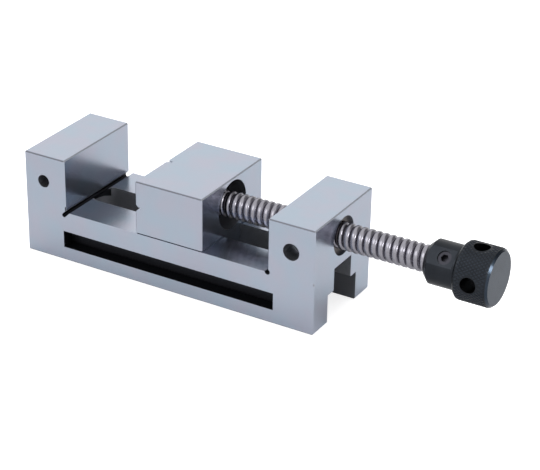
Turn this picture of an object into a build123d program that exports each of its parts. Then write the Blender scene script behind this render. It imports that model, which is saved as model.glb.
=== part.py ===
from build123d import *

"""Screw-type precision vise with a 50 mm jaw, for grinding and inspection work.

The fixed jaw, bed and end block are one ground block. The moving jaw slides on the bed, held down by a keeper
plate in the T-slot. The screw runs in a bronze nut in the end block, and turns in a bush in the moving jaw.

X runs along the vise from the fixed jaw to the knob, Y across it and Z up. The pieces are drawn with X = 0 at
the fixed jaw's outer face, and written with the origin under the middle of the whole vise, on the table.
"""

import os
from math import degrees, radians, tan

# Base block
body_width = 50.0
body_length = 148.0
bed_height = 24.0
jaw_height = 25.0
fixed_jaw_length = 21.5
end_block_length = 22.5
edge_break = 0.5

# Clamping slots along both sides of the base
side_slot_from_jaw_end = 20.0
side_slot_from_screw_end = 19.5
side_slot_bottom = 6.5
side_slot_width = 8.0
side_slot_depth = 6.5

# T-slot that guides the moving jaw, open at the end block
guide_slot_width = 15.0
keeper_slot_width = 25.0
keeper_slot_height = 13.5
slot_end_behind_jaw_face = 6.0

# Corner reliefs of the bed
relief_width = 2.0
relief_depth = 2.2
relief_offset = 0.6
undercut_diameter = 2.5

# Side holes, at the height of the screw
stop_hole_from_end = 10.0
stop_hole_radius = 3.0
stop_hole_depth = 14.0
lock_hole_radius = 3.9
lock_hole_depth = 8.0

# Moving jaw
opening_at_rest = 37.5
moving_jaw_length = 34.0
v_groove_mouth = 4.0
v_groove_depth = 2.0
v_slit_width = 1.0
v_slit_depth = 0.9
tongue_setback = 6.5
tongue_rear_gap = 0.5

# Screw, whose length is from the shoulder in the moving jaw to the knob
screw_above_bed = 12.5
screw_radius = 6.0
screw_length = 105.3
thread_depth = 1.5
collar_length = 5.0
neck_length = 2.0
nose_radius = 4.0
spigot_radius = 4.3
spigot_length = 14.0
spigot_flat_depth = 0.4

# Nut in the end block
nut_radius = 8.8
nut_flange_radius = 10.8
nut_flange_length = 3.0
nut_recess = 1.5

# Screw bearing in the moving jaw
bearing_bore_radius = 11.3
bush_length = 8.0
bush_depth = 10.0
pocket_radius = 8.0
pocket_spare_length = 2.0
bore_ring_thickness = 1.0
bore_ring_groove_depth = 0.4
bore_ring_width = 2.1
bore_ring_lug_reach = 3.9
nose_ring_thickness = 0.8
nose_ring_groove_depth = 0.2
nose_ring_width = 1.5
nose_ring_lug_reach = 3.1
nose_end_length = 1.2
ring_gap_angle = 24.0
ring_lug_width = 2.6
ring_lug_hole_radius = 0.6

# Keeper plate under the rails, and its cap screws
keeper_thickness = 9.0
keeper_side_clearance = 0.3
keeper_screw_spacing = 15.0
keeper_screw_radius = 2.0
keeper_screw_length = 14.0
keeper_hole_spare_depth = 1.0
cap_head_radius = 3.5
cap_head_height = 4.0
cap_socket_width = 3.0
cap_socket_depth = 2.0
counterbore_radius = 4.2
counterbore_depth = 5.4
washer_thickness = 0.9
washer_radius = 3.8

# Knob
hub_length = 15.1
hub_radius = 9.7
hub_chamfer = 2.5
head_length = 16.0
head_radius = 12.5
head_chamfer = 1.0
bar_hole_radius = 3.5
bar_hole_from_head = 7.6
hub_flat_depth = 0.9
hub_flat_length = 13.6
hub_flat_turn = 45.0

# Set screws in the hub and in the end block
set_screw_radius = 3.0
set_screw_socket_width = 3.0
set_screw_socket_depth = 2.5
set_screw_recess = 0.6
knob_screw_from_start = 9.1
lock_screw_length = 6.0

# Running and fitting clearances
slide_clearance = 0.03
journal_clearance = 0.03
thrust_clearance = 0.05
seat_clearance = 0.02
screw_hole_clearance = 0.05
thread_clearance = 0.08
cut_margin = 1.0

# Places worked out from the sizes above
body_height = bed_height + jaw_height
screw_height = bed_height + screw_above_bed
end_block_start = body_length - end_block_length
slot_end_centre = fixed_jaw_length + slot_end_behind_jaw_face
jaw_front = fixed_jaw_length + opening_at_rest
jaw_rear = jaw_front + moving_jaw_length
tongue_front = jaw_front + tongue_setback
tongue_rear = jaw_rear - tongue_rear_gap
tongue_bottom = keeper_slot_height - slide_clearance
keeper_bottom = tongue_bottom - keeper_thickness
keeper_middle = (tongue_front + tongue_rear) / 2
keeper_screw_places = [keeper_middle - keeper_screw_spacing / 2, keeper_middle + keeper_screw_spacing / 2]
cap_head_seat = keeper_bottom + counterbore_depth - washer_thickness
bush_rear = jaw_rear - bush_depth
bush_front = bush_rear - bush_length
bore_ring_start = bush_rear + seat_clearance
screw_shoulder = bush_rear + thrust_clearance
nose_ring_end = bush_front - thrust_clearance
nose_ring_start = nose_ring_end - nose_ring_thickness
nose_start = nose_ring_start - nose_end_length
pocket_start = nose_start - pocket_spare_length
neck_start = screw_shoulder + collar_length
thread_start = neck_start + neck_length
neck_radius = screw_radius - thread_depth
knob_start = screw_shoulder + screw_length
nut_start = end_block_start + nut_recess
nut_end = body_length - nut_recess
nut_middle = end_block_start + end_block_length / 2
head_start = knob_start + hub_length
knob_end = head_start + head_length
bar_hole_place = head_start + bar_hole_from_head
flat_radius = hub_radius - hub_flat_depth
middle_of_vise = knob_end / 2

# Cylinders that start or end at their origin
upwards = (Align.CENTER, Align.CENTER, Align.MIN)
downwards = (Align.CENTER, Align.CENTER, Align.MAX)


def box_between(low, high):
    """Box from its lowest to its highest corner."""
    size = [b - a for a, b in zip(low, high)]
    return Pos(*low) * Box(*size, align=(Align.MIN, Align.MIN, Align.MIN))


def side_profile(points, width):
    """Prism across the vise with the given (x, z) outline, centred on the middle plane."""
    outline = make_face(Plane.XZ * Polyline(*points, close=True))
    return extrude(outline, amount=width / 2, both=True)


def turned(points):
    """Solid of revolution about the screw's axis, from (x, radius) points."""
    outline = make_face(Plane.XZ * Polyline(*points, close=True))
    return Pos(0, 0, screw_height) * revolve(outline, Axis.X)


def turned_bar(start, end, radius):
    """Plain bar on the screw's axis."""
    return turned([(start, 0), (start, radius), (end, radius), (end, 0)])


def side_bar(x, z, near, far, radius):
    """Bar across the vise at (x, z), from y = near to y = far."""
    bar = Cylinder(radius, far - near, align=upwards)
    return Pos(x, near, z) * Rot(-90, 0, 0) * bar


def edges_away_from(solid, places):
    """Edges of a prism, without those whose middle is at one of the given (x, z) places."""
    kept = []
    for edge in solid.edges():
        middle = edge.center()
        if not any(abs(middle.X - x) + abs(middle.Z - z) < cut_margin for x, z in places):
            kept.append(edge)
    return kept


def t_slot():
    """Space of the T-slot: a guide slot up to the bed and a wider keeper slot below it, with round ends."""
    space = None
    for width, top in ((guide_slot_width, bed_height), (keeper_slot_width, keeper_slot_height)):
        side = width / 2
        low = (slot_end_centre, -side, -cut_margin)
        run = box_between(low, (body_length + cut_margin, side, top))
        round_end = Cylinder(side, top + cut_margin, align=downwards)
        run += Pos(slot_end_centre, 0, top) * round_end
        space = run if space is None else space + run
    return space


def make_vise_body():
    """Fixed jaw, bed and end block in one piece, with the rails' edges and the inner corners left sharp."""
    inner_corners = [(fixed_jaw_length, bed_height), (end_block_start, bed_height)]
    outline = [(0, 0), (body_length, 0), (body_length, body_height), (end_block_start, body_height)]
    outline += [inner_corners[1], inner_corners[0], (fixed_jaw_length, body_height), (0, body_height)]
    block = side_profile(outline, body_width)
    rail_edges = ((fixed_jaw_length + end_block_start) / 2, bed_height)
    block = chamfer(edges_away_from(block, [*inner_corners, rail_edges]), edge_break)

    # slanting relief in the fixed jaw's corner, and a round undercut in the end block's
    relief = SlotOverall(2 * relief_depth + relief_width, relief_width)
    relief = Pos(fixed_jaw_length + relief_offset, bed_height) * Rot(0, 0, 45) * relief
    block -= extrude(Plane.XZ * relief, amount=body_width, both=True)
    block -= side_bar(end_block_start, bed_height, -body_width, body_width, undercut_diameter / 2)

    block -= t_slot()
    for side in (-1, 1):
        inner = side * (body_width / 2 - side_slot_depth)
        outer = side * (body_width / 2 + cut_margin)
        low = (side_slot_from_jaw_end, min(inner, outer), side_slot_bottom)
        end = body_length - side_slot_from_screw_end
        high = (end, max(inner, outer), side_slot_bottom + side_slot_width)
        block -= box_between(low, high)

    # tapped hole for a work stop, and the hole of the nut's lock screw
    near = -body_width / 2
    block -= side_bar(stop_hole_from_end, screw_height, near, near + stop_hole_depth, stop_hole_radius)
    block -= side_bar(nut_middle, screw_height, near, near + lock_hole_depth, lock_hole_radius)
    block -= side_bar(nut_middle, screw_height, near, 0, set_screw_radius + screw_hole_clearance)

    # stepped seat of the nut
    seat_radius = nut_radius + seat_clearance
    flange_seat_radius = nut_flange_radius + seat_clearance
    flange_seat_end = nut_start + nut_flange_length
    block -= turned_bar(end_block_start - cut_margin, flange_seat_end, flange_seat_radius)
    return block - turned_bar(flange_seat_end - cut_margin, body_length + cut_margin, seat_radius)


def make_screw_nut():
    """Flanged bronze nut, bored to run on the crests of the screw's thread."""
    flange_end = nut_start + nut_flange_length
    outline = [(nut_start, 0), (nut_start, nut_flange_radius), (flange_end, nut_flange_radius)]
    outline += [(flange_end, nut_radius), (nut_end, nut_radius), (nut_end, 0)]
    bore = screw_radius + thread_clearance
    return turned(outline) - turned_bar(nut_start - cut_margin, nut_end + cut_margin, bore)


def make_lead_screw():
    """Screw with a nose that turns in the moving jaw, a collar, the thread's full round and a spigot."""
    groove = nose_radius - nose_ring_groove_depth
    groove_start = nose_ring_start - seat_clearance
    groove_end = nose_ring_end + seat_clearance
    outline = [(nose_start, 0), (nose_start, nose_radius), (groove_start, nose_radius)]
    outline += [(groove_start, groove), (groove_end, groove)]
    outline += [(groove_end, nose_radius), (screw_shoulder, nose_radius), (screw_shoulder, screw_radius)]
    outline += [(neck_start, screw_radius), (neck_start, neck_radius), (thread_start, neck_radius)]
    outline += [(thread_start, screw_radius), (knob_start, screw_radius), (knob_start, spigot_radius)]
    outline += [(knob_start + spigot_length, spigot_radius), (knob_start + spigot_length, 0)]
    return turned(outline) - spigot_flat()


def spigot_flat():
    """What is milled off the spigot for the knob's set screw to press on."""
    start = knob_start + cut_margin
    low = (start, -screw_radius, spigot_radius - spigot_flat_depth)
    high = (knob_start + spigot_length + cut_margin, screw_radius, screw_radius)
    return about_axis(box_between(low, high))


def about_axis(shape):
    """Moves a shape drawn about the X axis to the screw's axis, turned to face the way of the hub's flat."""
    return Pos(0, 0, screw_height) * Rot(hub_flat_turn, 0, 0) * shape


def make_knob():
    """Hub and head in one piece, with crossed tommy-bar holes, a milled flat and a blind bore."""
    outline = [(knob_start, 0), (knob_start, hub_radius - hub_chamfer)]
    outline += [(knob_start + hub_chamfer, hub_radius), (head_start, hub_radius)]
    outline += [(head_start, head_radius - head_chamfer)]
    outline += [(head_start + head_chamfer, head_radius), (knob_end - head_chamfer, head_radius)]
    outline += [(knob_end, head_radius - head_chamfer), (knob_end, 0)]
    knob = turned(outline)
    bore_end = knob_start + spigot_length + thrust_clearance
    knob -= turned_bar(knob_start - cut_margin, bore_end, spigot_radius + seat_clearance)

    for turn in (0, 90):
        bar_hole = Cylinder(bar_hole_radius, 2 * head_radius + cut_margin)
        knob -= Pos(bar_hole_place, 0, screw_height) * Rot(turn, 0, 0) * bar_hole

    low = (knob_start - cut_margin, -hub_radius, flat_radius)
    flat = box_between(low, (knob_start + hub_flat_length, hub_radius, hub_radius + cut_margin))
    screw_hole = Cylinder(set_screw_radius + screw_hole_clearance, hub_radius, align=upwards)
    screw_hole = Pos(knob_start + knob_screw_from_start, 0, 0) * screw_hole
    return knob - about_axis(flat) - about_axis(screw_hole)


def set_screw(length):
    """Flat-point set screw that points down, with its socket up and its point at the origin."""
    screw = Cylinder(set_screw_radius, length, align=upwards)
    hexagon = RegularPolygon(set_screw_socket_width / 2, 6, major_radius=False)
    return screw - Pos(0, 0, length - set_screw_socket_depth) * extrude(hexagon, amount=length)


def make_knob_set_screw():
    """Set screw in the hub's flat, on the spigot's flat."""
    bottom = spigot_radius - spigot_flat_depth
    screw = set_screw(flat_radius - set_screw_recess - bottom)
    return about_axis(Pos(knob_start + knob_screw_from_start, 0, bottom) * screw)


def make_nut_lock_screw():
    """Set screw deep in the end block's side hole, on the nut's barrel."""
    return Pos(nut_middle, -nut_radius, screw_height) * Rot(90, 0, 0) * set_screw(lock_screw_length)


def make_moving_jaw():
    """Jaw block with crossed V grooves in front, the screw's bearing bore behind and a tongue below."""
    bottom = bed_height + slide_clearance
    low = (jaw_front, -body_width / 2, bottom)
    jaw = box_between(low, (jaw_rear, body_width / 2, body_height))
    jaw = chamfer(jaw.edges(), edge_break)
    tongue_side = guide_slot_width / 2 - slide_clearance
    low = (tongue_front, -tongue_side, tongue_bottom)
    jaw += box_between(low, (tongue_rear, tongue_side, bottom + cut_margin))

    # crossed V grooves with a narrow slit at the bottom
    half_mouth = v_groove_mouth / 2
    half_slit = v_slit_width / 2
    reach = (half_mouth - half_slit) / half_mouth * v_groove_depth
    bottom_depth = v_groove_depth + v_slit_depth
    groove = [(-cut_margin, half_mouth), (0, half_mouth), (reach, half_slit), (bottom_depth, half_slit)]
    groove += [(x, -side) for x, side in reversed(groove)]
    across = side_profile([(jaw_front + x, screw_height + side) for x, side in groove], 2 * body_width)
    upright = Plane.XY * make_face(Polyline(*[(jaw_front + x, side) for x, side in groove], close=True))
    jaw -= across
    jaw -= Pos(0, 0, bed_height) * extrude(upright, amount=body_height)

    # bearing bore, circlip groove and the pocket in front of the bush
    groove_radius = bearing_bore_radius + bore_ring_groove_depth
    groove_end = bore_ring_start + bore_ring_thickness + seat_clearance
    seat = [(pocket_start, 0), (pocket_start, pocket_radius)]
    seat += [(bush_front, pocket_radius), (bush_front, bearing_bore_radius), (bush_rear, bearing_bore_radius)]
    seat += [(bush_rear, groove_radius), (groove_end, groove_radius), (groove_end, bearing_bore_radius)]
    seat += [(jaw_rear + cut_margin, bearing_bore_radius), (jaw_rear + cut_margin, 0)]
    jaw -= turned(seat)

    hole_bottom = tongue_bottom - cut_margin
    hole_top = cap_head_seat + keeper_screw_length + keeper_hole_spare_depth
    for place in keeper_screw_places:
        hole = Cylinder(keeper_screw_radius + screw_hole_clearance, hole_top - hole_bottom, align=upwards)
        jaw -= Pos(place, 0, hole_bottom) * hole
    return jaw


def make_keeper_plate():
    """Plate under the rails, with a counterbored hole for each cap screw."""
    side = keeper_slot_width / 2 - keeper_side_clearance
    plate = box_between((tongue_front, -side, keeper_bottom), (tongue_rear, side, tongue_bottom))
    plate = chamfer(plate.edges().filter_by(Axis.Z), 2 * edge_break)
    for place in keeper_screw_places:
        hole = Cylinder(keeper_screw_radius + screw_hole_clearance, 2 * keeper_thickness, align=upwards)
        hole += Pos(0, 0, counterbore_depth) * Cylinder(counterbore_radius, keeper_thickness, align=downwards)
        plate -= Pos(place, 0, keeper_bottom) * hole
    return plate


def make_keeper_screws():
    """Two socket head cap screws that point up into the tongue."""
    screws = []
    for place in keeper_screw_places:
        hexagon = RegularPolygon(cap_socket_width / 2, 6, major_radius=False)
        screw = Cylinder(cap_head_radius, cap_head_height, align=downwards)
        screw -= Pos(0, 0, -cap_head_height) * extrude(hexagon, amount=cap_socket_depth)
        screw += Cylinder(keeper_screw_radius, keeper_screw_length, align=upwards)
        screws.append(Pos(place, 0, cap_head_seat) * screw)
    return Compound(children=screws)


def make_keeper_washers():
    """Two washers under the heads of the cap screws."""
    ring = Circle(washer_radius) - Circle(keeper_screw_radius + screw_hole_clearance)
    washer = extrude(ring, amount=washer_thickness)
    return Compound(children=[Pos(place, 0, cap_head_seat) * washer for place in keeper_screw_places])


def make_thrust_bush():
    """Bush against the step in the bearing bore, which takes the screw's push and pull."""
    outside = bearing_bore_radius - seat_clearance
    bore = nose_radius + journal_clearance
    return turned([(bush_front, bore), (bush_front, outside), (bush_rear, outside), (bush_rear, bore)])


def circlip(start, thickness, rim_radius, width, lug_reach):
    """Retaining ring across the screw's axis, with a gap at the top between two lugs with plier holes.

    The width and the lugs' reach are measured from the rim that sits in the groove, and are negative where
    they point to the axis.
    """
    edges = sorted((rim_radius, rim_radius + width))
    ring = Circle(edges[1]) - Circle(edges[0])
    half_gap = ring_gap_angle / 2
    gap_reach = 2 * edges[1]
    gap_side = gap_reach * tan(radians(half_gap))
    ring -= make_face(Polyline((0, 0), (gap_reach, gap_side), (gap_reach, -gap_side), close=True))

    lug_length = lug_reach - width / 2
    lug_middle = rim_radius + (lug_reach + width / 2) / 2
    hole_place = rim_radius + (lug_reach + width) / 2
    lug_turn = half_gap + degrees(ring_lug_width / 2 / abs(lug_middle))
    for turn in (-lug_turn, lug_turn):
        ring += Rot(0, 0, turn) * Pos(lug_middle, 0) * Rectangle(abs(lug_length), ring_lug_width)
        ring -= Rot(0, 0, turn) * Pos(hole_place, 0) * Circle(ring_lug_hole_radius)
    upright = Plane(origin=(start, 0, screw_height), x_dir=(0, 0, 1), z_dir=(1, 0, 0))
    return extrude(upright * ring, amount=thickness)


def make_bore_circlip():
    """Internal circlip behind the thrust bush."""
    rim = bearing_bore_radius + bore_ring_groove_depth - seat_clearance
    return circlip(bore_ring_start, bore_ring_thickness, rim, -bore_ring_width, -bore_ring_lug_reach)


def make_nose_circlip():
    """External circlip on the nose, in front of the thrust bush."""
    rim = nose_radius - nose_ring_groove_depth + seat_clearance
    return circlip(nose_ring_start, nose_ring_thickness, rim, nose_ring_width, nose_ring_lug_reach)


pieces = {
    "vise_body": make_vise_body,
    "screw_nut": make_screw_nut,
    "nut_lock_screw": make_nut_lock_screw,
    "moving_jaw": make_moving_jaw,
    "keeper_plate": make_keeper_plate,
    "keeper_screws": make_keeper_screws,
    "keeper_washers": make_keeper_washers,
    "thrust_bush": make_thrust_bush,
    "bore_circlip": make_bore_circlip,
    "lead_screw": make_lead_screw,
    "nose_circlip": make_nose_circlip,
    "knob": make_knob,
    "knob_set_screw": make_knob_set_screw,
}

os.makedirs("parts", exist_ok=True)
for name, make_piece in pieces.items():
    export_step(Pos(-middle_of_vise, 0, 0) * make_piece(), f"parts/{name}.step")
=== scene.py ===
"""Looks of a screw-type precision vise: surface-ground steel, a rolled thread and a black, knurled knob.

Laid out as an add-on and run as a script. Lengths are metres unless a name ends in _mm. X runs along the
vise towards the knob, Y across it and Z up, with the origin on the table under the middle of the vise.
"""

import math
from functools import partial, reduce

import bpy
from bpy.props import FloatProperty, FloatVectorProperty, IntProperty, PointerProperty
from mathutils import Matrix, Vector


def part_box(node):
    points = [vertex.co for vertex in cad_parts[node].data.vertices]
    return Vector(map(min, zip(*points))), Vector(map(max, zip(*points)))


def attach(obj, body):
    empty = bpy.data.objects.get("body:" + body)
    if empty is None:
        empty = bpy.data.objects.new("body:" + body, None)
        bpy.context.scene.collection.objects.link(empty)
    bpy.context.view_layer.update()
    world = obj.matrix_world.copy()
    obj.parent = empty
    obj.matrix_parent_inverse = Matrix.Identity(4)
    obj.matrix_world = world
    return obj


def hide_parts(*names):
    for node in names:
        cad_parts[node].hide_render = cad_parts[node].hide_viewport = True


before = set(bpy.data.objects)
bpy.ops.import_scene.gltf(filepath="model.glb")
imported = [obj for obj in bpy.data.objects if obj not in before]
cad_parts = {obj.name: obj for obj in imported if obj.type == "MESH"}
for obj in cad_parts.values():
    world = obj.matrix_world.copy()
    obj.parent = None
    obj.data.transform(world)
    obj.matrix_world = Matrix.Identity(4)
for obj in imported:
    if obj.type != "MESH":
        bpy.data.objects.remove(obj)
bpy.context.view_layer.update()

bl_info = {
    "name": "Precision vise",
    "version": (1, 0, 0),
    "blender": (4, 5, 0),
    "location": "View3D > Sidebar > Vise",
    "description": "Gives the packed vise its finishes, screw thread, knurl and studio",
    "category": "Object",
}

mm = 0.001
math_kind = "ShaderNodeMath"
vector_kind = "ShaderNodeVectorMath"

# Sockets of a Mix node by number, because their names repeat
mix_share = 0
first_number = 2
second_number = 3
first_colour = 6
second_colour = 7
mixed_colour = 2

# Most of a noise pattern lies in this span, which is spread over the range of a finish
noise_span = {"From Min": 0.3, "From Max": 0.7}

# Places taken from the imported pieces
body_low, body_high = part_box("vise_body")
jaw_low, jaw_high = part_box("moving_jaw")
screw_low, screw_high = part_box("lead_screw")
knob_low, knob_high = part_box("knob")
axis_height = (screw_low.z + screw_high.z) / 2

# Steps of the base block, from the fixed jaw's outer face and from the table
bed_height_mm = 24.0
body_height_mm = 49.0
half_width_mm = 25.0
edge_break_mm = 0.5
jaw_face_mm = 21.5
end_block_mm = 125.5
guide_slot_half_mm = 7.5
keeper_slot_half_mm = 12.5
keeper_slot_height_mm = 13.5

# How far the finish of both slots reaches past the jaw's face, under the fixed jaw
slots_under_jaw_mm = 7.0

# Side slots: both ends along the vise, then lowest and highest height
side_slot_mm = (20.0, 128.5, 6.5, 14.5)

# Relief at the fixed jaw's foot and undercut at the end block's: reach from the corner towards the fixed
# jaw and towards the knob, then lowest and highest height
jaw_relief_mm = (3.5, 2.5, 20.0, 26.5)
undercut_mm = (1.2, 1.5, 22.7, 25.2)

# Side holes: place along the vise, and radius
stop_hole_mm = (10.0, 3.0)
lock_hole_mm = (136.75, 3.9)

# Bearing bore of the moving jaw: radius, and where its finish starts, behind the grooves in the jaw's front
bearing_bore_mm = 11.3
bore_front_mm = 5.0

# Turned steps of the screw's nose: distance from its inner end, and radius
nose_steps_mm = (
    (0.0, 0.0),
    (0.0, 3.7),
    (0.3, 4.0),
    (1.18, 4.0),
    (1.18, 3.8),
    (2.02, 3.8),
    (2.02, 4.0),
    (10.1, 4.0),
)
collar_radius_mm = 6.0
collar_chamfer_mm = 0.3
collar_end_mm = 15.1
neck_end_mm = 17.1
spigot_radius_mm = 4.3
spigot_length_mm = 14.0

# Knob: its head, its crossed bar holes, which are placed from its outer end, and the height above the head
# from which the knurl is worn
head_length_mm = 16.0
head_chamfer_mm = 1.0
bar_hole_mm = 8.4
bar_hole_radius_mm = 3.5
worn_tip_mm = 0.12

# Camera, from the fit to the photograph's corners: angles in degrees, distance in metres
view_azimuth = 30.035
view_elevation = 27.225
view_roll = 1.054
view_distance = 0.80483
view_target = (0.00233, 0.0, 0.02686)
focal_pixels = 1862.66
photo_width = 540
sensor_width_mm = 36.0

# Direction of the room's dim side, to the right of the view and above the table
dim_side = (0.446, 0.770, 0.457)


def linear(hex_colour):
    """Linear red, green, blue and alpha of an sRGB hex colour."""
    channels = [int(hex_colour[place : place + 2], 16) / 255 for place in (1, 3, 5)]
    return tuple(c / 12.92 if c <= 0.04045 else ((c + 0.055) / 1.055) ** 2.4 for c in channels) + (1.0,)


def colour_property(name, description, hex_colour):
    """Colour setting with its default written as an sRGB hex value."""
    shade = linear(hex_colour)
    return FloatVectorProperty(
        name=name, description=description, subtype="COLOR", size=4, min=0, max=1, default=shade
    )


class ViseScrewSizes(bpy.types.PropertyGroup):
    """Sizes of the rolled thread."""

    pitch: FloatProperty(
        name="Pitch", description="Advance of the jaw for one turn", default=3.25 * mm, unit="LENGTH"
    )
    depth: FloatProperty(
        name="Depth", description="Height of the thread above its root", default=1.5 * mm, unit="LENGTH"
    )
    crest_power: FloatProperty(
        name="Crest power",
        description="Higher values make the crest wider and the valley narrower",
        default=3.2,
    )
    phase: FloatProperty(
        name="Phase",
        description="Shift of the thread along the screw, in pitches",
        default=0.98,
        min=0,
        max=1,
        subtype="FACTOR",
    )
    around: IntProperty(name="Around", description="Faces in one turn", default=64, min=8)
    rows: IntProperty(name="Rows", description="Faces across one pitch", default=16, min=4)


class ViseKnurlSizes(bpy.types.PropertyGroup):
    """Sizes of the diamond knurl on the knob."""

    columns: IntProperty(name="Columns", description="Diamonds around the head", default=50, min=6)
    rows: IntProperty(name="Rows", description="Rings of diamonds along the head", default=12, min=1)
    height: FloatProperty(
        name="Height", description="How far a diamond stands out", default=0.25 * mm, unit="LENGTH"
    )
    tip: FloatProperty(
        name="Tip",
        description="Flat top of a diamond, as a share of its base",
        default=0.15,
        min=0,
        max=1,
        subtype="FACTOR",
    )
    hole_margin: FloatProperty(
        name="Hole margin", description="Bare ring around each bar hole", default=0.8 * mm, unit="LENGTH"
    )


class ViseFinishes(bpy.types.PropertyGroup):
    """Colours of the vise's finishes."""

    ground: colour_property("Ground steel", "Surface-ground faces", "#BCC4D0")
    side_edge: colour_property("Side edge breaks", "Small bevels along the vise, ground", "#747780")
    cross_edge: colour_property("Cross edge breaks", "Small bevels across the vise, stoned", "#ACB0B8")
    scaled: colour_property("Scaled steel", "Side slots, relief and undercut, dark from heat", "#34353A")
    milled: colour_property("Milled steel", "Wide slot for the keeper plate", "#787A80")
    bright: colour_property("Bright steel", "Walls of the guide slot, holes and jaw bore", "#A6A8AE")
    screw: colour_property("Bright screw", "Turned and rolled screw", "#A09EA6")
    black: colour_property("Black oxide", "Knob and hub", "#313439")
    # paler knob colour: real wear on the knurl tips, and on the knob's end and chamfer partly wear and
    # partly painted light from the right
    wear_and_painted_light: colour_property("Worn black oxide", "End and knurl of the knob, rubbed paler", "#3B444F")
    fastener: colour_property("Dark fastener", "Set screws, cap screws and circlips", "#3B3B41")
    # bronze colour darkened with painted shade from the nut's recess
    bronze: colour_property("Bearing bronze", "Nut in the end block", "#4F4A49")
    floor: colour_property("Floor", "Pale studio floor", "#EDEDEE")


def add_node(tree, kind, inputs=(), **settings):
    """Adds a node with its settings, and links or sets its inputs, given in order or by name or number."""
    node = tree.nodes.new(kind)
    for name, value in settings.items():
        setattr(node, name, value)
    for key, value in inputs.items() if isinstance(inputs, dict) else enumerate(inputs):
        if isinstance(value, bpy.types.Node):
            value = value.outputs[0]
        if isinstance(value, bpy.types.NodeSocket):
            tree.links.new(value, node.inputs[key])
        else:
            node.inputs[key].default_value = value
    return node


def largest(tree, values):
    """Largest of several values."""
    return reduce(lambda a, b: add_node(tree, math_kind, (a, b), operation="MAXIMUM"), values)


def inside_box(tree, place, low, high):
    """1 inside the box between two corners, in millimetres, otherwise 0."""
    add = partial(add_node, tree)
    middle = [(a + b) / 2 for a, b in zip(low, high)]
    half = [(b - a) / 2 for a, b in zip(low, high)]
    offset = add(vector_kind, (place, middle), operation="SUBTRACT")
    shares = add(vector_kind, (offset, half), operation="DIVIDE")
    shares = add(vector_kind, (shares,), operation="ABSOLUTE")
    largest_share = largest(tree, add("ShaderNodeSeparateXYZ", (shares,)).outputs)
    return add(math_kind, (largest_share, 1.0), operation="LESS_THAN")


def from_screw_axis(tree, place):
    """Distance from the screw's axis, in millimetres."""
    add = partial(add_node, tree)
    offset = add(vector_kind, (place, (0, 0, axis_height / mm)), operation="SUBTRACT")
    across = add(vector_kind, (offset, (0, 1, 1)), operation="MULTIPLY")
    return add(vector_kind, (across,), operation="LENGTH").outputs["Value"]


def new_material(name):
    """Empty material, with its tree and its object coordinates in millimetres."""
    material = bpy.data.materials.new(name)
    material.use_nodes = True
    tree = material.node_tree
    tree.nodes.clear()
    coordinates = add_node(tree, "ShaderNodeTexCoord").outputs["Object"]
    place = add_node(tree, vector_kind, {0: coordinates, "Scale": 1 / mm}, operation="SCALE")
    return material, tree, place


def metal_shader(tree, colour, roughness, normal):
    """Principled shader of a metal, which keeps the default IOR."""
    inputs = {"Base Color": colour, "Metallic": 1.0, "Roughness": roughness, "Normal": normal}
    add_node(tree, "ShaderNodeOutputMaterial", (add_node(tree, "ShaderNodeBsdfPrincipled", inputs),))


def along_vise(distance_mm):
    """Place along X, in millimetres, that is this distance from the fixed jaw's outer face."""
    return body_low.x / mm + distance_mm


def base_recesses():
    """Boxes around the base's slots, relief and undercut, by the name of their finish.

    Each box is given by its lowest and highest corners, with y positive. Where two meet, the later holds.
    """
    # a box passes a recess's walls by this much, or keeps clear of a ground face by it
    skin = 0.1
    # each box starts past the middle of the vise, so that no gap is left there
    inner = -1.0
    side = half_width_mm - skin
    bed_top = bed_height_mm - skin

    slot_corner = (along_vise(jaw_face_mm - slots_under_jaw_mm), inner, -skin)
    open_end = body_high.x / mm - skin
    guide_slot = (slot_corner, (open_end, guide_slot_half_mm + skin, bed_height_mm + skin))
    keeper_slot = (slot_corner, (open_end, keeper_slot_half_mm + skin, keeper_slot_height_mm + skin))

    start, end, bottom, top = side_slot_mm
    side_slot_low = (along_vise(start) - skin, inner, bottom - skin)
    side_slot = (side_slot_low, (along_vise(end) + skin, side, top + skin))

    before, after, bottom, top = jaw_relief_mm
    foot = along_vise(jaw_face_mm)
    bed_relief = ((foot - before, inner, bottom), (foot + after, side, bed_top))
    jaw_relief = ((foot - before, inner, bed_top), (foot - skin, side, top))

    before, after, bottom, top = undercut_mm
    corner = along_vise(end_block_mm)
    undercut = ((corner - before, inner, bottom), (corner + after, side, top))
    return {
        "bright": (guide_slot,),
        "milled": (keeper_slot,),
        "scaled": (side_slot, bed_relief, jaw_relief, undercut),
    }


def inside_recesses(boxes, tree, place):
    """1 inside any of the boxes or their mirror images across the vise, otherwise 0."""
    x, y, z = add_node(tree, "ShaderNodeSeparateXYZ", (place,)).outputs
    aside = add_node(tree, math_kind, (y,), operation="ABSOLUTE")
    folded = add_node(tree, "ShaderNodeCombineXYZ", (x, aside, z))
    return largest(tree, [inside_box(tree, folded, low, high) for low, high in boxes])


def bearing_bore(tree, place):
    """1 inside the moving jaw's bearing bore, otherwise 0."""
    wall_margin = 0.6
    face_margin = 0.05
    reach = from_screw_axis(tree, place)
    within = add_node(tree, math_kind, (reach, bearing_bore_mm + wall_margin), operation="LESS_THAN")
    low = (jaw_low.x / mm + bore_front_mm, -half_width_mm, 0.0)
    high = (jaw_high.x / mm - face_margin, half_width_mm, body_height_mm)
    behind_front = inside_box(tree, place, low, high)
    return add_node(tree, math_kind, (within, behind_front), operation="MULTIPLY")


def side_holes(tree, place):
    """1 on the walls of the two side holes, otherwise 0."""
    wall_margin = 0.05
    face_margin = 0.02
    axis = axis_height / mm
    masks = []
    for distance, radius in (stop_hole_mm, lock_hole_mm):
        reach = radius + wall_margin
        low = (along_vise(distance) - reach, -half_width_mm + face_margin, axis - reach)
        high = (along_vise(distance) + reach, 0.0, axis + reach)
        masks.append(inside_box(tree, place, low, high))
    return largest(tree, masks)


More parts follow.
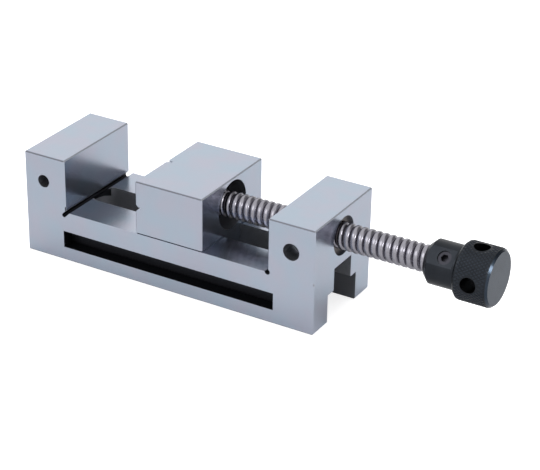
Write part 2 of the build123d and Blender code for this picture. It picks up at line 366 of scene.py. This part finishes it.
def edge_breaks(axis, tree, place):
    """1 on the small bevels of the top and bottom edges that face along this axis, otherwise 0."""
    height_margin = 0.1
    add = partial(add_node, tree)
    slope = add("ShaderNodeSeparateXYZ", (add("ShaderNodeTexCoord").outputs["Normal"],)).outputs[axis]
    slope = add(math_kind, (slope,), operation="ABSOLUTE")
    # a bevel of 45 degrees faces 0.7 along the axis and 0.7 up or down
    sloping = add(math_kind, (slope, 0.7, 0.2), operation="COMPARE")
    height = add("ShaderNodeSeparateXYZ", (place,)).outputs["Z"]
    at_edge = [
        add(math_kind, (height, level, edge_break_mm + height_margin), operation="COMPARE")
        for level in (0.0, bed_height_mm, body_height_mm)
    ]
    return add(math_kind, (sloping, largest(tree, at_edge)), operation="MULTIPLY")


def ground_steel(name, colours, machined_places):
    """Hardened tool steel, surface ground: a cool pale grey with a soft mirror and a faint grain.

    Each machined place, and the small edge breaks, has its own colour and a duller face. The edge breaks
    across the vise are the dullest, so they read as soft lines.
    """
    machined_rough = 0.48
    stoned_rough = 0.75
    material, tree, place = new_material(name)
    add = partial(add_node, tree)
    # wheel marks run along the vise and are about 0.05 mm wide. So that they show, they are drawn 12.5 mm
    # long and 0.4 mm wide, which is 2.4 to the millimetre
    marks_per_mm = (1 / 12.5, 2.4, 2.4)
    marks_place = add(vector_kind, (place, marks_per_mm), operation="MULTIPLY")
    marks = add("ShaderNodeTexNoise", {"Vector": marks_place, "Scale": 1.0, "Detail": 3.0}).outputs["Fac"]
    # the grinding leaves patches that look faintly bluer or pinker
    patch_mm = 12.5
    patch_inputs = {"Vector": place, "Scale": 1 / patch_mm, "Detail": 2.0}
    patches = add("ShaderNodeTexNoise", patch_inputs).outputs["Fac"]
    tint = add("ShaderNodeValToRGB", (patches,))
    for stop, position, shade in zip(tint.color_ramp.elements, (0.35, 0.65), ("#F6FCFF", "#FFF9FC")):
        stop.position = position
        stop.color = linear(shade)
    colour = add(vector_kind, (tint, colours.ground[:3]), operation="MULTIPLY")
    masks = [(mask(tree, place), shade) for mask, shade in machined_places]
    masks.append((edge_breaks("Y", tree, place), colours.side_edge))
    stoned = edge_breaks("X", tree, place)
    masks.append((stoned, colours.cross_edge))
    for mask, shade in masks:
        mix_inputs = {mix_share: mask, first_colour: colour, second_colour: tuple(shade)}
        colour = add("ShaderNodeMix", mix_inputs, data_type="RGBA").outputs[mixed_colour]
    rough_range = noise_span | {"Value": marks, "To Min": 0.21, "To Max": 0.27}
    ground_rough = add("ShaderNodeMapRange", rough_range)
    machined = largest(tree, [mask for mask, _ in masks])
    mix_inputs = {mix_share: machined, first_number: ground_rough, second_number: machined_rough}
    roughness = add("ShaderNodeMix", mix_inputs, data_type="FLOAT")
    mix_inputs = {mix_share: stoned, first_number: roughness, second_number: stoned_rough}
    roughness = add("ShaderNodeMix", mix_inputs, data_type="FLOAT")
    bump = add("ShaderNodeBump", {"Height": marks, "Strength": 0.018, "Distance": 0.02 * mm})
    metal_shader(tree, colour, roughness, bump)
    return material


def bright_screw_steel(name, colour):
    """Turned and rolled screw steel: bright burnished crests, with the turning marks running around it, and
    painted shade in the thread's valleys.
    """
    material, tree, place = new_material(name)
    add = partial(add_node, tree)
    # turning marks are about 0.05 mm wide. So that they show, they are drawn 20 mm long and 0.45 mm wide,
    # which is 2.2 to the millimetre
    marks_per_mm = (2.2, 1 / 20, 1 / 20)
    marks_place = add(vector_kind, (place, marks_per_mm), operation="MULTIPLY")
    marks = add("ShaderNodeTexNoise", {"Vector": marks_place, "Scale": 1.0, "Detail": 3.0}).outputs["Fac"]
    # painted shade: the valleys of the thread are darkened, by the distance from the screw's axis
    reach = from_screw_axis(tree, place)
    valley = {"Value": reach, "From Min": 4.6, "From Max": 5.8, "To Min": 0.8, "To Max": 1.0}
    shade = add("ShaderNodeMapRange", valley)
    toned = add(vector_kind, {0: colour[:3], "Scale": shade}, operation="SCALE")
    rough_range = noise_span | {"Value": marks, "To Min": 0.2, "To Max": 0.3}
    roughness = add("ShaderNodeMapRange", rough_range)
    bump = add("ShaderNodeBump", {"Height": marks, "Strength": 0.05, "Distance": 0.02 * mm})
    metal_shader(tree, toned, roughness, bump)
    return material


def knob_wear_and_painted_light(tree, place):
    """1 on the knob's outer end and its chamfer, less on the tips of the knurl, and 0 elsewhere. The paler
    colour is real wear on the tips, and on the end and chamfer partly wear and partly painted light from the
    right.
    """
    chamfer_share = 0.9
    tip_share = 0.3
    face_margin = 0.05
    top_margin = 1.0
    add = partial(add_node, tree)
    low = (knob_high.x / mm - chamfer_share * head_chamfer_mm, -half_width_mm, 0.0)
    high = (knob_high.x / mm + face_margin, half_width_mm, body_height_mm + top_margin)
    tip_radius = (knob_high.z - knob_low.z) / 2 / mm + worn_tip_mm
    tips = add(math_kind, (from_screw_axis(tree, place), tip_radius), operation="GREATER_THAN")
    partly = add(math_kind, (tips, tip_share), operation="MULTIPLY")
    return add(math_kind, (inside_box(tree, place, low, high), partly), operation="MAXIMUM")


def fine_grained_metal(name, colour, rough, grain_mm, wear_and_painted_light=None):
    """Metal with an even fine grain and faint clouds, such as black oxide on a turned face.

    Its roughness lies between the two values of rough. The real grain is under 0.1 mm wide, and is drawn
    wider so that it shows. Where the wear and painted light colour is given, the knob's outer end, its
    chamfer and the tips of its knurl have it, and are smoother. On the tips that paler colour is wear; on
    the end and chamfer it is partly wear and partly painted light from the right.
    """
    worn_rough = 0.2
    material, tree, place = new_material(name)
    add = partial(add_node, tree)
    grain_inputs = {"Vector": place, "Scale": 1 / grain_mm, "Detail": 3.0}
    grain = add("ShaderNodeTexNoise", grain_inputs).outputs["Fac"]
    # the bath or the heat leaves paler and darker clouds some 7 mm wide, which is 0.15 to the millimetre
    clouds_per_mm = 0.15
    cloud_inputs = {"Vector": place, "Scale": clouds_per_mm, "Detail": 2.0}
    clouds = add("ShaderNodeTexNoise", cloud_inputs).outputs["Fac"]
    rough_range = noise_span | {"Value": grain, "To Min": rough[0], "To Max": rough[1]}
    roughness = add("ShaderNodeMapRange", rough_range)
    if wear_and_painted_light is None:
        colour = colour[:3]
    else:
        # painted light: the end and chamfer are paler, partly for wear and partly in place of light falling
        # from the right
        rubbed_and_lit = knob_wear_and_painted_light(tree, place)
        mix_inputs = {mix_share: rubbed_and_lit, first_colour: tuple(colour), second_colour: tuple(wear_and_painted_light)}
        colour = add("ShaderNodeMix", mix_inputs, data_type="RGBA").outputs[mixed_colour]
        mix_inputs = {mix_share: rubbed_and_lit, first_number: roughness, second_number: worn_rough}
        roughness = add("ShaderNodeMix", mix_inputs, data_type="FLOAT")
    tone_range = noise_span | {"Value": clouds, "To Min": 0.88, "To Max": 1.1}
    tone = add("ShaderNodeMapRange", tone_range)
    toned = add(vector_kind, {0: colour, "Scale": tone}, operation="SCALE")
    bump = add("ShaderNodeBump", {"Height": grain, "Strength": 0.1, "Distance": 0.03 * mm})
    metal_shader(tree, toned, roughness, bump)
    return material


def finish_nodes(material, *names):
    """Gives CAD nodes a material."""
    for name in names:
        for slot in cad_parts[name].material_slots:
            slot.material = material


def new_geometry_tree(name, inputs):
    """Geometry node tree with named inputs. Returns it and the sockets of its inputs."""
    kinds = {float: "NodeSocketFloat", int: "NodeSocketInt", bpy.types.Material: "NodeSocketMaterial"}
    tree = bpy.data.node_groups.new(name, "GeometryNodeTree")
    tree.interface.new_socket("Geometry", in_out="INPUT", socket_type="NodeSocketGeometry")
    tree.interface.new_socket("Geometry", in_out="OUTPUT", socket_type="NodeSocketGeometry")
    for input_name, value in inputs.items():
        tree.interface.new_socket(input_name, in_out="INPUT", socket_type=kinds[type(value)])
    return tree, add_node(tree, "NodeGroupInput").outputs


def end_geometry_tree(tree, geometry, material):
    """Makes a tree's result real, gives it its material and passes it out."""
    real = add_node(tree, "GeometryNodeRealizeInstances", (geometry,))
    finished = add_node(tree, "GeometryNodeSetMaterial", {"Geometry": real, "Material": material})
    add_node(tree, "NodeGroupOutput", (finished,))


def mesh_from_tree(name, tree, inputs, base_mesh, sharp_degrees):
    """Object with the tree's result as a plain mesh, smooth apart from sharp edges, and no modifier."""
    piece = bpy.data.objects.new(name, base_mesh)
    bpy.context.scene.collection.objects.link(piece)
    modifier = piece.modifiers.new(name, "NODES")
    modifier.node_group = tree
    for item in tree.interface.items_tree:
        if item.name in inputs and item.in_out == "INPUT":
            modifier[item.identifier] = inputs[item.name]
    bpy.context.view_layer.update()
    evaluated = piece.evaluated_get(bpy.context.evaluated_depsgraph_get())
    mesh = bpy.data.meshes.new_from_object(evaluated)
    if not mesh.polygons:
        raise RuntimeError(f"{name} came out empty")
    piece.modifiers.clear()
    piece.data = mesh
    mesh.name = name
    mesh.shade_smooth()
    mesh.set_sharp_from_angle(angle=math.radians(sharp_degrees))
    return piece


def lathe_mesh(name, runs, around):
    """Mesh turned about the screw's axis from runs of (x, radius) points, with a circle's points shared."""
    vertices, faces = [], []
    for run in runs:
        rings = []
        for x, radius in run:
            first = len(vertices)
            if radius == 0:
                vertices.append((x, 0, axis_height))
                rings.append([first] * around)
                continue
            for step in range(around):
                turn = 2 * math.pi * step / around
                vertices.append((x, radius * math.cos(turn), axis_height + radius * math.sin(turn)))
            rings.append(list(range(first, first + around)))
        for near, far in zip(rings, rings[1:]):
            for step in range(around):
                after = (step + 1) % around
                corners = [near[step], near[after], far[after], far[step]]
                faces.append(list(dict.fromkeys(corners)))
    mesh = bpy.data.meshes.new(name)
    mesh.from_pydata(vertices, [], faces)
    return mesh


def screw_ends(start, end, root):
    """Outlines of the screw's ends as (x, radius) points: its nose, collar and neck, and its spigot."""
    nose = [(screw_low.x + x * mm, radius * mm) for x, radius in nose_steps_mm]
    shoulder = nose[-1][0]
    collar_end = screw_low.x + collar_end_mm * mm
    chamfer = collar_chamfer_mm * mm
    collar = collar_radius_mm * mm
    nose += [(shoulder, collar - chamfer), (shoulder + chamfer, collar)]
    nose += [(collar_end - chamfer, collar), (collar_end, collar - chamfer)]
    nose += [(collar_end, root), (start, root)]
    spigot_radius = spigot_radius_mm * mm
    spigot_end = end + spigot_length_mm * mm
    spigot = [(end, root), (end, spigot_radius), (spigot_end, spigot_radius), (spigot_end, 0)]
    return nose, spigot


def thread_tree(inputs):
    """Tree that makes the thread as one welded surface: a grid wound around the axis, one pitch a turn.

    Its rows follow the helix, so the crest is a clean line. Outside the thread's ends the grid folds onto a
    circle at the root, which welds to the turned neck.
    """
    # with three turns more than the thread has, both ends are covered for any phase
    spare_turns = 3.0
    tree, sockets = new_geometry_tree("screw_thread", inputs)
    add = partial(add_node, tree)
    length = add(math_kind, (sockets["End"], sockets["Start"]), operation="SUBTRACT")
    turns = add(math_kind, (length, sockets["Pitch"]), operation="DIVIDE")
    turns = add(math_kind, (turns,), operation="CEIL")
    turns = add(math_kind, (turns, spare_turns), operation="ADD")
    row_count = add(math_kind, (turns, sockets["Rows"]), operation="MULTIPLY")
    along = add(math_kind, (row_count, 1.0), operation="ADD")
    around = add(math_kind, (sockets["Around"], 1.0), operation="ADD")
    grid = add("GeometryNodeMeshGrid", (1.0, 1.0, along, around))
    u, v, _ = add("ShaderNodeSeparateXYZ", (add("GeometryNodeInputPosition"),)).outputs
    row = add(math_kind, (u, 0.5), operation="ADD")
    row = add(math_kind, (row, row_count), operation="MULTIPLY")
    row = add(math_kind, (row,), operation="ROUND")
    pitch_place = add(math_kind, (row, sockets["Rows"]), operation="DIVIDE")
    turn = add(math_kind, (v, 0.5), operation="ADD")
    advance = add(math_kind, (pitch_place, turn), operation="ADD")
    advance = add(math_kind, (advance, sockets["Phase"]), operation="ADD")
    advance = add(math_kind, (advance, spare_turns - 1), operation="SUBTRACT")
    x = add(math_kind, (advance, sockets["Pitch"], sockets["Start"]), operation="MULTIPLY_ADD")
    # from -1 in a valley over 0 on the crest to 1 in the next valley
    across = add(math_kind, (pitch_place,), operation="FRACT")
    across = add(math_kind, (across, 2.0, -1.0), operation="MULTIPLY_ADD")
    from_crest = add(math_kind, (across,), operation="ABSOLUTE")
    valley = add(math_kind, (from_crest, sockets["Crest Power"]), operation="POWER")
    ridge = add(math_kind, (1.0, valley), operation="SUBTRACT")
    started = add(math_kind, (x, sockets["Start"]), operation="GREATER_THAN")
    going = add(math_kind, (x, sockets["End"]), operation="LESS_THAN")
    threaded = add(math_kind, (started, going), operation="MULTIPLY")
    lift = add(math_kind, (threaded, sockets["Depth"]), operation="MULTIPLY")
    radius = add(math_kind, (ridge, lift, sockets["Root Radius"]), operation="MULTIPLY_ADD")
    x = add("ShaderNodeClamp", (x, sockets["Start"], sockets["End"]))
    angle = add(math_kind, (turn, 2 * math.pi), operation="MULTIPLY")
    cosine = add(math_kind, (angle,), operation="COSINE")
    sine = add(math_kind, (angle,), operation="SINE")
    y = add(math_kind, (radius, cosine), operation="MULTIPLY")
    z = add(math_kind, (radius, sine, sockets["Axis Height"]), operation="MULTIPLY_ADD")
    wound_place = add("ShaderNodeCombineXYZ", (x, y, z))
    wound = add("GeometryNodeSetPosition", {"Geometry": grid, "Position": wound_place})
    whole = add("GeometryNodeJoinGeometry", (sockets["Geometry"],))
    tree.links.new(wound.outputs[0], whole.inputs[0])
    welded = add("GeometryNodeMergeByDistance", {"Geometry": whole, "Distance": 0.005 * mm})
    end_geometry_tree(tree, welded, sockets["Material"])
    return tree


def knurl_tree(inputs):
    """Tree that sets small diamonds in staggered rings around the knob's head, clear of its bar holes."""
    tree, sockets = new_geometry_tree("diamond_knurl", inputs)
    add = partial(add_node, tree)
    count = add(math_kind, (sockets["Columns"], sockets["Rows"]), operation="MULTIPLY")
    points = add("GeometryNodePoints", (count,))
    index = add("GeometryNodeInputIndex")
    # the half keeps a whole number from rounding down
    row = add(math_kind, (index, 0.5), operation="ADD")
    row = add(math_kind, (row, sockets["Columns"]), operation="DIVIDE")
    row = add(math_kind, (row,), operation="FLOOR")
    column = add(math_kind, (index, sockets["Columns"]), operation="MODULO")
    # every other ring is turned by half a diamond
    odd_row = add(math_kind, (row, 2.0), operation="MODULO")
    column = add(math_kind, (odd_row, 0.5, column), operation="MULTIPLY_ADD")
    turn = add(math_kind, (column, sockets["Columns"]), operation="DIVIDE")
    angle = add(math_kind, (turn, 2 * math.pi), operation="MULTIPLY")
    cosine = add(math_kind, (angle,), operation="COSINE")
    sine = add(math_kind, (angle,), operation="SINE")
    x = add(math_kind, (row, sockets["Row Spacing"], sockets["Start"]), operation="MULTIPLY_ADD")
    y = add(math_kind, (sockets["Radius"], cosine), operation="MULTIPLY")
    z = add(math_kind, (sockets["Radius"], sine), operation="MULTIPLY")
    height = add(math_kind, (z, sockets["Axis Height"]), operation="ADD")
    position = add("ShaderNodeCombineXYZ", (x, y, height))
    placed = add("GeometryNodeSetPosition", {"Geometry": points, "Position": position})
    # the bar holes lie along both cross axes, so the nearer of the two decides
    sizes = [add(math_kind, (side,), operation="ABSOLUTE") for side in (y, z)]
    aside = add(math_kind, sizes, operation="MINIMUM")
    lengthways = add(math_kind, (x, sockets["Hole Place"]), operation="SUBTRACT")
    offset = add("ShaderNodeCombineXYZ", (lengthways, aside, 0.0))
    from_hole = add(vector_kind, (offset,), operation="LENGTH").outputs["Value"]
    # chosen rather than deleted, so each point keeps the number that its angle comes from
    clear_of_holes = add(math_kind, (from_hole, sockets["Hole Radius"]), operation="GREATER_THAN")
    diamond_inputs = {"Vertices": 4, "Radius Top": sockets["Tip"], "Radius Bottom": 1.0}
    diamond = add("GeometryNodeMeshCone", diamond_inputs | {"Depth": sockets["Height"]})
    half_turn = add(math_kind, (sockets["Radius"], math.pi), operation="MULTIPLY")
    half_width = add(math_kind, (half_turn, sockets["Columns"]), operation="DIVIDE")
    size = add("ShaderNodeCombineXYZ", (sockets["Row Spacing"], half_width, 1.0))
    lean = add(math_kind, (angle, math.pi / 2), operation="SUBTRACT")
    rotation = add("ShaderNodeCombineXYZ", (lean, 0.0, 0.0))
    set_inputs = {"Points": placed, "Selection": clear_of_holes, "Instance": diamond}
    set_inputs |= {"Rotation": rotation, "Scale": size}
    end_geometry_tree(tree, add("GeometryNodeInstanceOnPoints", set_inputs), sockets["Material"])
    return tree


class VISE_OT_ground_steel(bpy.types.Operator):
    """Finish the base, the moving jaw and the keeper plate in ground steel"""

    bl_idname = "vise.ground_steel"
    bl_label = "Ground steel"

    def execute(self, context):
        colours = context.scene.vise_finishes
        in_base = [
            (partial(inside_recesses, boxes), getattr(colours, finish))
            for finish, boxes in base_recesses().items()
        ]
        in_base.append((side_holes, colours.bright))
        in_jaw = [(bearing_bore, colours.bright)]
        base_steel = ground_steel("surface_ground_steel", colours, in_base)
        finish_nodes(base_steel, "vise_body")
        jaw_steel = ground_steel("surface_ground_jaw_steel", colours, in_jaw)
        finish_nodes(jaw_steel, "moving_jaw", "keeper_plate")
        return {"FINISHED"}


class VISE_OT_lead_screw(bpy.types.Operator):
    """Make the screw with its rolled thread, in place of the plain bar"""

    bl_idname = "vise.lead_screw"
    bl_label = "Lead screw"

    def execute(self, context):
        sizes = context.scene.vise_screw
        material = bright_screw_steel("bright_rolled_steel", context.scene.vise_finishes.screw)
        start = screw_low.x + neck_end_mm * mm
        end = knob_low.x
        root = screw_high.z - axis_height - sizes.depth
        inputs = {
            "Start": start,
            "End": end,
            "Axis Height": axis_height,
            "Root Radius": root,
            "Depth": sizes.depth,
            "Pitch": sizes.pitch,
            "Phase": sizes.phase,
            "Crest Power": sizes.crest_power,
            "Around": sizes.around,
            "Rows": sizes.rows,
            "Material": material,
        }
        ends = lathe_mesh("screw_ends", screw_ends(start, end, root), sizes.around)
        screw = mesh_from_tree("threaded_screw", thread_tree(inputs), inputs, ends, sharp_degrees=50)
        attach(screw, "screw")
        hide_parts("lead_screw")
        return {"FINISHED"}


class VISE_OT_knob(bpy.types.Operator):
    """Finish the knob in black oxide and give its head a diamond knurl"""

    bl_idname = "vise.knob"
    bl_label = "Knob"

    def execute(self, context):
        sizes = context.scene.vise_knurl
        colours = context.scene.vise_finishes
        # turned steel, blackened in a hot bath and oiled: near black, with a soft sheen
        black = fine_grained_metal(
            "black_oxide_steel", colours.black, rough=(0.3, 0.42), grain_mm=0.5, wear_and_painted_light=colours.wear_and_painted_light
        )
        finish_nodes(black, "knob")
        chamfer = head_chamfer_mm * mm
        length = head_length_mm * mm - 2 * chamfer
        spacing = length / (sizes.rows + 1)
        inputs = {
            "Start": knob_high.x - chamfer - length + spacing,
            "Row Spacing": spacing,
            "Radius": (knob_high.z - knob_low.z) / 2,
            "Axis Height": axis_height,
            "Columns": sizes.columns,
            "Rows": sizes.rows,
            "Height": sizes.height,
            "Tip": sizes.tip,
            "Hole Place": knob_high.x - bar_hole_mm * mm,
            "Hole Radius": bar_hole_radius_mm * mm + sizes.hole_margin,
            "Material": black,
        }
        blank = bpy.data.meshes.new("knurl_blank")
        knurl = mesh_from_tree("knob_knurl", knurl_tree(inputs), inputs, blank, sharp_degrees=20)
        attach(knurl, "screw")
        return {"FINISHED"}


class VISE_OT_small_parts(bpy.types.Operator):
    """Finish the nut, the bush, the circlips and the screws"""

    bl_idname = "vise.small_parts"
    bl_label = "Small parts"

    def execute(self, context):
        colours = context.scene.vise_finishes
        # bought screws and rings with a thin dark oxide: dark grey, with a soft sheen
        dark = fine_grained_metal(
            "dark_oxide_fastener_steel", colours.fastener, rough=(0.3, 0.42), grain_mm=0.4
        )
        finish_nodes(dark, "nut_lock_screw", "knob_set_screw", "keeper_screws", "keeper_washers")
        finish_nodes(dark, "bore_circlip", "nose_circlip")
        # machined bronze, a warm dark grey, darkened further with painted shade from the nut's recess
        bronze = fine_grained_metal("bearing_bronze", colours.bronze, rough=(0.25, 0.4), grain_mm=0.6)
        finish_nodes(bronze, "screw_nut")
        # hardened and ground, dark from its heat treatment and oil
        hardened = fine_grained_metal(
            "hardened_bush_steel", colours.fastener, rough=(0.25, 0.35), grain_mm=0.4
        )
        finish_nodes(hardened, "thrust_bush")
        return {"FINISHED"}


class VISE_OT_studio(bpy.types.Operator):
    """Set up the pale floor, the soft light and the camera"""

    bl_idname = "vise.studio"
    bl_label = "Studio"

    def execute(self, context):
        scene = context.scene
        scene.view_settings.view_transform = "Standard"
        make_floor(scene.vise_finishes.floor)
        make_world(scene)
        make_lamps()
        make_camera(scene)
        return {"FINISHED"}


def mirrored_rays(tree):
    """1 for mirrored and refracted rays, otherwise 0, and the same for those from the camera."""
    path = add_node(tree, "ShaderNodeLightPath").outputs
    return largest(tree, (path["Is Glossy Ray"], path["Is Transmission Ray"])), path["Is Camera Ray"]


def make_floor(colour):
    """Pale matt floor that keeps the shadow, lifted to white for the eye and a little where mirrored."""
    half = 3.0
    seen_lift = 0.75
    mirrored_lift = 0.04
    corners = [(-half, -half, 0), (half, -half, 0), (half, half, 0), (-half, half, 0)]
    mesh = bpy.data.meshes.new("studio_floor")
    mesh.from_pydata(corners, [], [(0, 1, 2, 3)])
    floor = bpy.data.objects.new("studio_floor", mesh)
    bpy.context.scene.collection.objects.link(floor)
    material = bpy.data.materials.new("pale_studio_floor")
    material.use_nodes = True
    tree = material.node_tree
    tree.nodes.clear()
    add = partial(add_node, tree)
    mirrored, seen = mirrored_rays(tree)
    lift = add(math_kind, (seen, seen_lift), operation="MULTIPLY")
    lift = add(math_kind, (mirrored, mirrored_lift, lift), operation="MULTIPLY_ADD")
    paint = add("ShaderNodeBsdfDiffuse", (tuple(colour),))
    both = add("ShaderNodeAddShader", (paint, add("ShaderNodeEmission", {"Strength": lift})))
    add("ShaderNodeOutputMaterial", (both,))
    mesh.materials.append(material)


def make_world(scene):
    """White surroundings, at full strength where they are seen or mirrored, with one side of them dim."""
    matt_strength = 0.44
    world = bpy.data.worlds.new("white_studio")
    world.use_nodes = True
    tree = world.node_tree
    tree.nodes.clear()
    add = partial(add_node, tree)
    mirrored, seen = mirrored_rays(tree)
    direction = add("ShaderNodeTexCoord").outputs["Generated"]
    towards = add(vector_kind, (direction, dim_side), operation="DOT_PRODUCT").outputs["Value"]
    dim_range = {"Value": towards, "From Min": 0.74, "From Max": 0.95, "To Min": 1.0, "To Max": 0.25}
    room = add("ShaderNodeMapRange", dim_range, interpolation_type="SMOOTHSTEP")
    mix_inputs = {mix_share: mirrored, first_number: matt_strength, second_number: room}
    level = add("ShaderNodeMix", mix_inputs, data_type="FLOAT")
    strength = largest(tree, (level, seen))
    add("ShaderNodeOutputWorld", (add("ShaderNodeBackground", ((1, 1, 1, 1), strength)),))
    scene.world = world


def make_lamps():
    """Soft boxes, each by its direction from the vise, its distance, side and power.

    A broad one above lights the matt surfaces, the round parts mirror one in front, and a small one stands
    to the right.
    """
    for name, direction, distance, side, power, mirrored in (
        ("overhead_soft_box", (-0.11, 0.27, 0.96), 0.95, 0.9, 5.0, False),
        ("front_soft_box", (-0.261, -0.647, 0.717), 1.1, 0.6, 1.6, True),
        ("right_soft_box", (0.923, -0.085, 0.375), 0.955, 0.22, 1.5, True),
    ):
        lamp = bpy.data.lights.new(name, "AREA")
        lamp.shape = "SQUARE"
        lamp.size = side
        lamp.energy = power
        holder = bpy.data.objects.new(name, lamp)
        holder.visible_glossy = mirrored
        away = Vector(direction)
        place = Vector(view_target) + away * distance
        holder.matrix_world = Matrix.Translation(place) @ away.to_track_quat("Z", "Y").to_matrix().to_4x4()
        bpy.context.scene.collection.objects.link(holder)


def make_camera(scene):
    """Camera at the photograph's angle, distance and roll."""
    azimuth, elevation, roll = (math.radians(a) for a in (view_azimuth, view_elevation, view_roll))
    back = Vector((math.sin(azimuth) * math.cos(elevation), -math.cos(azimuth) * math.cos(elevation), 0))
    back.z = math.sin(elevation)
    level_right = Vector((math.cos(azimuth), math.sin(azimuth), 0))
    level_up = back.cross(level_right)
    right = math.cos(roll) * level_right + math.sin(roll) * level_up
    up = back.cross(right)
    lens = bpy.data.cameras.new("photo_camera")
    lens.sensor_fit = "HORIZONTAL"
    lens.sensor_width = sensor_width_mm
    lens.lens = focal_pixels / photo_width * sensor_width_mm
    lens.clip_end = 20.0
    camera = bpy.data.objects.new("photo_camera", lens)
    turn = Matrix((right, up, back)).transposed().to_4x4()
    camera.matrix_world = Matrix.Translation(Vector(view_target) + back * view_distance) @ turn
    scene.collection.objects.link(camera)
    scene.camera = camera


class VISE_PT_panel(bpy.types.Panel):
    """Lists the vise's operators and settings"""

    bl_label = "Precision vise"
    bl_idname = "VISE_PT_panel"
    bl_space_type = "VIEW_3D"
    bl_region_type = "UI"
    bl_category = "Vise"

    def draw(self, context):
        for operator in operators:
            self.layout.operator(operator.bl_idname)
        for group_name in property_groups:
            group = getattr(context.scene, group_name)
            box = self.layout.box()
            for name in group.__annotations__:
                box.prop(group, name)


operators = (
    VISE_OT_ground_steel,
    VISE_OT_lead_screw,
    VISE_OT_knob,
    VISE_OT_small_parts,
    VISE_OT_studio,
)
property_groups = {
    "vise_screw": ViseScrewSizes,
    "vise_knurl": ViseKnurlSizes,
    "vise_finishes": ViseFinishes,
}


def register():
    """Registers the classes and their settings."""
    for group in property_groups.values():
        bpy.utils.register_class(group)
    for operator in operators:
        bpy.utils.register_class(operator)
    bpy.utils.register_class(VISE_PT_panel)
    for name, group in property_groups.items():
        setattr(bpy.types.Scene, name, PointerProperty(type=group))


def unregister():
    """Takes the settings and the classes away."""
    for name in property_groups:
        delattr(bpy.types.Scene, name)
    bpy.utils.unregister_class(VISE_PT_panel)
    for operator in reversed(operators):
        bpy.utils.unregister_class(operator)
    for group in property_groups.values():
        bpy.utils.unregister_class(group)


def main():
    """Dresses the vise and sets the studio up."""
    register()
    bpy.ops.vise.ground_steel()
    bpy.ops.vise.lead_screw()
    bpy.ops.vise.knob()
    bpy.ops.vise.small_parts()
    bpy.ops.vise.studio()


if __name__ == "__main__":
    main()
